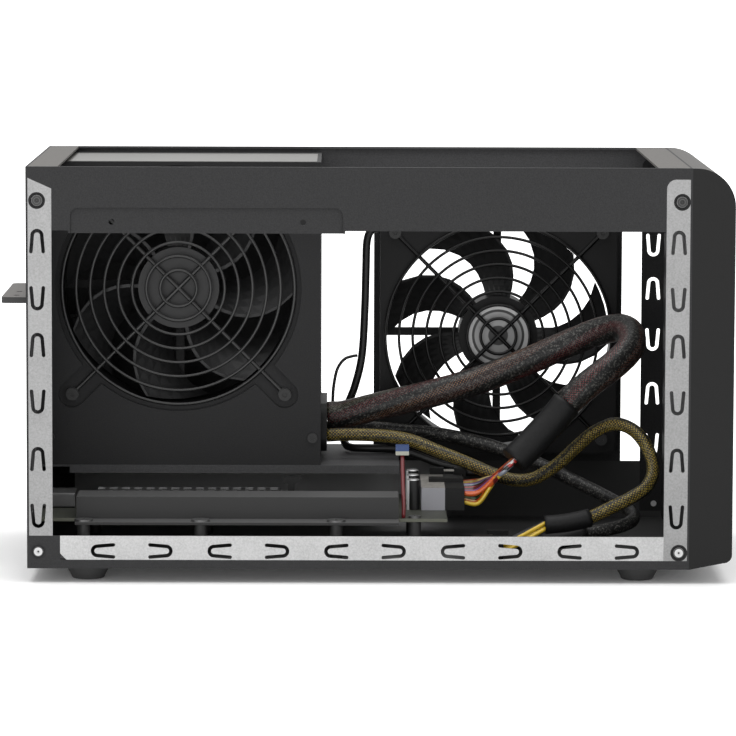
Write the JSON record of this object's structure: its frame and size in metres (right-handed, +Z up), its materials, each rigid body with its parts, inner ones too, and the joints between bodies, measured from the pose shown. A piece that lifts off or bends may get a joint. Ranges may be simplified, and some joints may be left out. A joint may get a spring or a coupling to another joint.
{
  "type": "pcie expansion chassis",
  "caption": "Open steel chassis for an external graphics card: it holds an ATX power supply, a side fan, a riser board with one long card slot, and their cables.",
  "frame": {"origin": "on the floor under the middle of the chassis", "axes": "+X from the back panel to the front bezel, +Y from the open side to the fan side, +Z up"},
  "size_m": [0.348, 0.1752, 0.1983],
  "materials": {
    "case_paint": "black powder-coated steel sheet, finely pebbled",
    "strap_steel": "taupe satin coat on the top straps",
    "rail_steel": "bare zinc-plated contact rails, bright outside",
    "psu_paint": "black paint on thin steel",
    "bezel_plastic": "textured black plastic",
    "foot_rubber": "black rubber",
    "zinc": "zinc-plated steel",
    "dark_screw": "black screws",
    "label": "bare label film",
    "guard_wire": "black-coated wire",
    "fan_plastic": "black moulded plastic",
    "black_plastic": "black moulded plastic",
    "pin_metal": "plated brass",
    "board": "dark solder mask with a bare green-brown edge",
    "port_metal": "tinned steel shell",
    "natural_plastic": "natural white plastic",
    "can": "aluminium cans",
    "loom_braid": "open black mesh over red, yellow and black wires",
    "lead_braid": "open black mesh over yellow and black wires",
    "heat_shrink": "black heat-shrink sleeve",
    "wire": "coloured wire insulation",
    "dark_wire": "black wire insulation",
    "blue_plastic": "blue plastic"
  },
  "bodies": {
    "chassis": {"base_tray": "case_paint", "back_panel": "case_paint", "front_panel": "case_paint", "near_top_beam": "case_paint", "far_top_beam": "case_paint", "rear_top_strap": "strap_steel", "front_top_strap": "strap_steel", "fan_plate": "case_paint", "psu_shelf": "case_paint", "bracket_shelf": "case_paint", "front_bezel": "bezel_plastic", "feet": "foot_rubber", "near_rear_rail": "rail_steel", "near_front_rail": "rail_steel", "near_bottom_rail": "rail_steel", "far_rear_rail": "rail_steel", "far_front_rail": "rail_steel", "side_screws": "zinc", "psu_cover": "psu_paint", "psu_base": "psu_paint", "psu_label": "label", "psu_fan_frame": "fan_plastic", "psu_fan_guard": "guard_wire", "psu_guard_screws": "dark_screw", "psu_cover_screws": "dark_screw", "psu_mount_screws": "dark_screw", "power_inlet": "black_plastic", "inlet_pins": "pin_metal", "switch_housing": "black_plastic", "cable_grommet": "black_plastic", "side_fan_frame": "fan_plastic", "side_fan_guard": "guard_wire", "side_fan_screws": "dark_screw", "main_board": "board", "board_standoffs": "zinc", "board_screws": "zinc", "board_cover": "black_plastic", "slot_connector": "black_plastic", "host_port": "port_metal", "power_header": "natural_plastic", "fan_header": "black_plastic", "board_capacitors": "can", "atx_plug": "black_plastic", "atx_cable": "loom_braid", "atx_heat_shrink": "heat_shrink", "atx_wires": "wire", "upper_pcie_lead": "lead_braid", "upper_pcie_shrink": "heat_shrink", "upper_pcie_plug": "black_plastic", "lower_pcie_lead": "lead_braid", "lower_pcie_shrink": "heat_shrink", "lower_pcie_plug": "black_plastic", "fan_lead": "dark_wire", "indicator_lead": "wire", "indicator_plug": "blue_plastic"},
    "side_rotor": {"side_fan_rotor": "fan_plastic", "side_fan_label": "label"},
    "psu_rotor": {"psu_fan_rotor": "fan_plastic"},
    "rocker": {"switch_rocker": "black_plastic"},
    "latch": {"slot_latch": "black_plastic"}
  },
  "joints": [
    {"name": "side_fan_spin", "type": "hinge", "parent": "chassis", "child": "side_rotor", "pos_m": [0.0672, 0.074, 0.104], "axis": [0, 1, 0], "continuous": true},
    {"name": "psu_fan_spin", "type": "hinge", "parent": "chassis", "child": "psu_rotor", "pos_m": [-0.0927, 0.016, 0.1331], "axis": [0, 1, 0], "continuous": true},
    {"name": "power_switch", "type": "hinge", "parent": "chassis", "child": "rocker", "pos_m": [-0.1575, 0.043, 0.106], "axis": [0, -1, 0], "range_deg": [0, 16]},
    {"name": "slot_latch_swing", "type": "hinge", "parent": "chassis", "child": "latch", "pos_m": [-0.0365, -0.0345, 0.0308], "axis": [0, 1, 0], "range_deg": [0, 30]}
  ]
}
